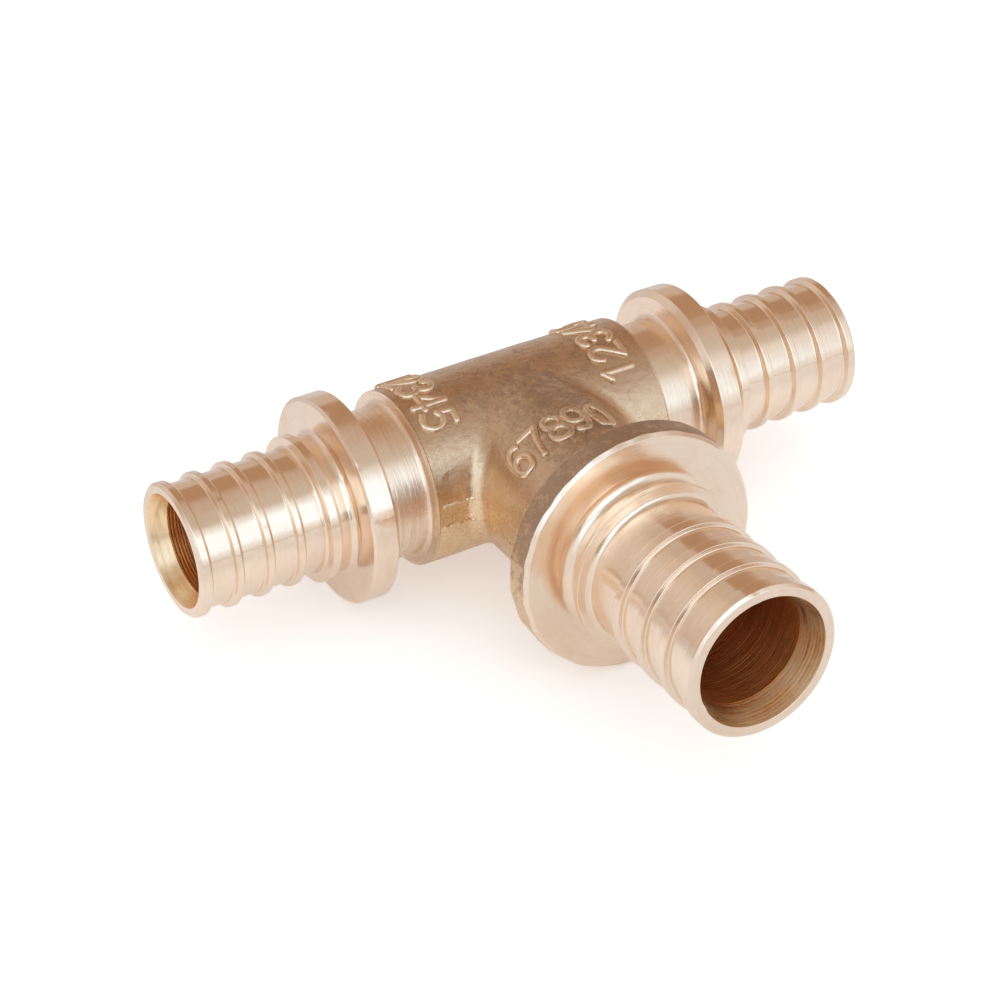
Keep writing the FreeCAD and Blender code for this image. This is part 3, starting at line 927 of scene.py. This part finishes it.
# What the metal mirrors: pale walls, a tan far side with brown panels, two soft lights in front, and a dark
# line and patch under them. Angles in degrees: turn goes from behind the tee (0) over its right (90) to the
# front (180), and climb goes up from level. Later panels lie over earlier ones
wallSettings = {
    "radius": 1300.0, "turnFrom": -95.0, "wall": (0.86, 0.85, 0.84),
    "ceiling": (0.63, 0.57, 0.5), "ceilingFrom": 40.0, "ceilingTo": 52.0,
    "panels": [
        {"turn": (-80, 114), "climb": (-30, 120), "soft": 12.0, "colour": (0.62, 0.51, 0.43)},
        {"turn": (-50, -18), "climb": (4, 44), "soft": 7.0, "colour": (0.74, 0.66, 0.6)},
        {"turn": (-52, -14), "climb": (44, 72), "soft": 6.0, "colour": (0.74, 0.62, 0.5)},
        {"turn": (22, 92), "climb": (48, 66), "soft": 6.0, "colour": (0.53, 0.38, 0.28)},
        {"turn": (14, 68), "climb": (28, 62), "soft": 2.5, "colour": (0.47, 0.3, 0.19)},
        {"turn": (149, 256), "climb": (-3, 53), "soft": 6.0, "colour": (0.95, 1.02, 1.08)},
        {"turn": (148, 180), "climb": (6, 41), "soft": 5.0, "colour": (1.14, 1.36, 1.6)},
        {"turn": (173, 207), "climb": (6, 58), "soft": 4.0, "colour": (1.14, 1.36, 1.6)},
        {"turn": (219, 254), "climb": (12, 46), "soft": 5.0, "colour": (1.14, 1.36, 1.6)},
        {"turn": (140, 262), "climb": (-6.6, -4.6), "soft": 0.5, "colour": (0.5, 0.45, 0.4)},
        {"turn": (193, 206), "climb": (-6, 9), "soft": 2.0, "colour": (0.2, 0.17, 0.15)},
    ],
}
# Size and distance in metres, power in watts
lampSettings = {"name": "frontBox", "power": 0.3, "size": (0.62, 0.75), "turn": 189.0, "climb": 29.0,
                "away": 0.9}
ambientLight = 0.95


def makeFloor(s):
    half = s["size"] / 2
    corners = np.array([(-half, -half, 0), (half, -half, 0), (half, half, 0), (-half, half, 0)])
    material, tree, shader, where = newMaterial("paleFloor")
    shader.inputs["Roughness"].default_value = 0.9
    shader.inputs["Specular IOR Level"].default_value = 0.1
    light = addNode(tree, "ShaderNodeLightPath")
    mirrored = light.outputs["Is Glossy Ray"]
    far = addRange(tree, splitVector(tree, where)[1], s["behindFrom"] * mm, s["behindTo"] * mm)
    # colour seen in reflections, darker behind the tee: painted shade
    colour = addMix(tree, mirrored, s["colour"], addMix(tree, far, s["mirrored"], s["behind"]))
    tree.links.new(colour, shader.inputs["Base Color"])
    oval = addNode(tree, "ShaderNodeVectorMath", operation="MULTIPLY")
    tree.links.new(where, oval.inputs[0])
    oval.inputs[1].default_value = s["liftShape"]
    away = addNode(tree, "ShaderNodeVectorMath", operation="LENGTH")
    tree.links.new(oval.outputs[0], away.inputs[0])
    # glow seen only in reflections near the tee: painted light over the tee's shadow on the floor
    near = addRange(tree, away.outputs["Value"], s["liftFrom"] * mm, s["liftTo"] * mm, s["reflectedGlowNearTee"], 0.0)
    lift = multiply(tree, light.outputs["Is Camera Ray"], s["lift"])
    lift = multiplyAdd(tree, mirrored, near, lift)
    shader.inputs["Emission Color"].default_value = (1, 1, 1, 1)
    tree.links.new(lift, shader.inputs["Emission Strength"])
    floor = makeMesh("floor", corners, [(0, 1, 2, 3)], None, [material])
    tilt = Matrix.Rotation(math.radians(-s["tilt"]), 4, "X")
    floor.matrix_world = tilt @ Matrix.Translation((0, 0, s["height"] * mm))
    return floor


def insideRange(tree, value, span, soft):
    low, high = math.radians(span[0]), math.radians(span[1])
    soft = math.radians(soft)
    rising = addRange(tree, value, low - soft, low + soft)
    falling = addRange(tree, value, high - soft, high + soft, 1.0, 0.0)
    return multiply(tree, rising, falling)


def makeWalls(s):
    builder = bmesh.new()
    bmesh.ops.create_uvsphere(builder, u_segments=48, v_segments=24, radius=s["radius"] * mm)
    mesh = bpy.data.meshes.new("studioWalls")
    builder.to_mesh(mesh)
    builder.free()
    walls = placeObject("studioWalls", mesh)
    material, tree, shader, where = newMaterial("studioPanels")
    outward = addNode(tree, "ShaderNodeVectorMath", operation="NORMALIZE")
    tree.links.new(where, outward.inputs[0])
    x, y, z = splitVector(tree, outward.outputs[0])
    turn = joinMath(tree, "ARCTAN2", x, y)
    wrapped = joinMath(tree, "LESS_THAN", turn, math.radians(s["turnFrom"]))
    turn = multiplyAdd(tree, wrapped, 2 * math.pi, turn)
    climb = joinMath(tree, "ARCSINE", z)
    overhead = addRange(tree, climb, math.radians(s["ceilingFrom"]), math.radians(s["ceilingTo"]))
    colour = addMix(tree, overhead, s["wall"] + (1,), s["ceiling"] + (1,))
    for panel in s["panels"]:
        share = multiply(tree, insideRange(tree, turn, panel["turn"], panel["soft"]),
                         insideRange(tree, climb, panel["climb"], panel["soft"]))
        colour = addMix(tree, share, colour, panel["colour"] + (1,))
    shader.inputs["Base Color"].default_value = (0, 0, 0, 1)
    shader.inputs["Specular IOR Level"].default_value = 0.0
    tree.links.new(colour, shader.inputs["Emission Color"])
    shader.inputs["Emission Strength"].default_value = 1.0
    mesh.materials.append(material)
    walls.visible_camera = False
    walls.visible_diffuse = False
    walls.visible_shadow = False
    return walls


def makeLamp(s):
    data = bpy.data.lights.new(s["name"], "AREA")
    data.shape = "RECTANGLE"
    data.size, data.size_y = s["size"]
    data.energy = s["power"]
    lamp = placeObject(s["name"], data)
    turn, climb = math.radians(s["turn"]), math.radians(s["climb"])
    out = Vector((math.sin(turn) * math.cos(climb), math.cos(turn) * math.cos(climb), math.sin(climb)))
    facing = out.to_track_quat("Z", "Y").to_matrix().to_4x4()
    lamp.matrix_world = Matrix.Translation(out * s["away"]) @ facing
    return lamp


def makeWorld(ambient):
    world = bpy.data.worlds.new("whiteStudio")
    bpy.context.scene.world = world
    world.use_nodes = True
    tree = world.node_tree
    tree.nodes.clear()
    light = addNode(tree, "ShaderNodeLightPath")
    seen = joinMath(tree, "MAXIMUM", light.outputs["Is Camera Ray"], light.outputs["Is Glossy Ray"])
    seen = joinMath(tree, "MAXIMUM", seen, light.outputs["Is Transmission Ray"])
    strength = addRange(tree, seen, 0.0, 1.0, ambient, 1.0)
    background = addNode(tree, "ShaderNodeBackground")
    background.inputs["Color"].default_value = (1, 1, 1, 1)
    tree.links.new(strength, background.inputs["Strength"])
    output = addNode(tree, "ShaderNodeOutputWorld")
    tree.links.new(background.outputs[0], output.inputs["Surface"])


makeFloor(floorSettings)
makeWalls(wallSettings)
makeLamp(lampSettings)
makeWorld(ambientLight)
bpy.context.scene.view_settings.view_transform = "Standard"
print("floor, walls and lamps set")
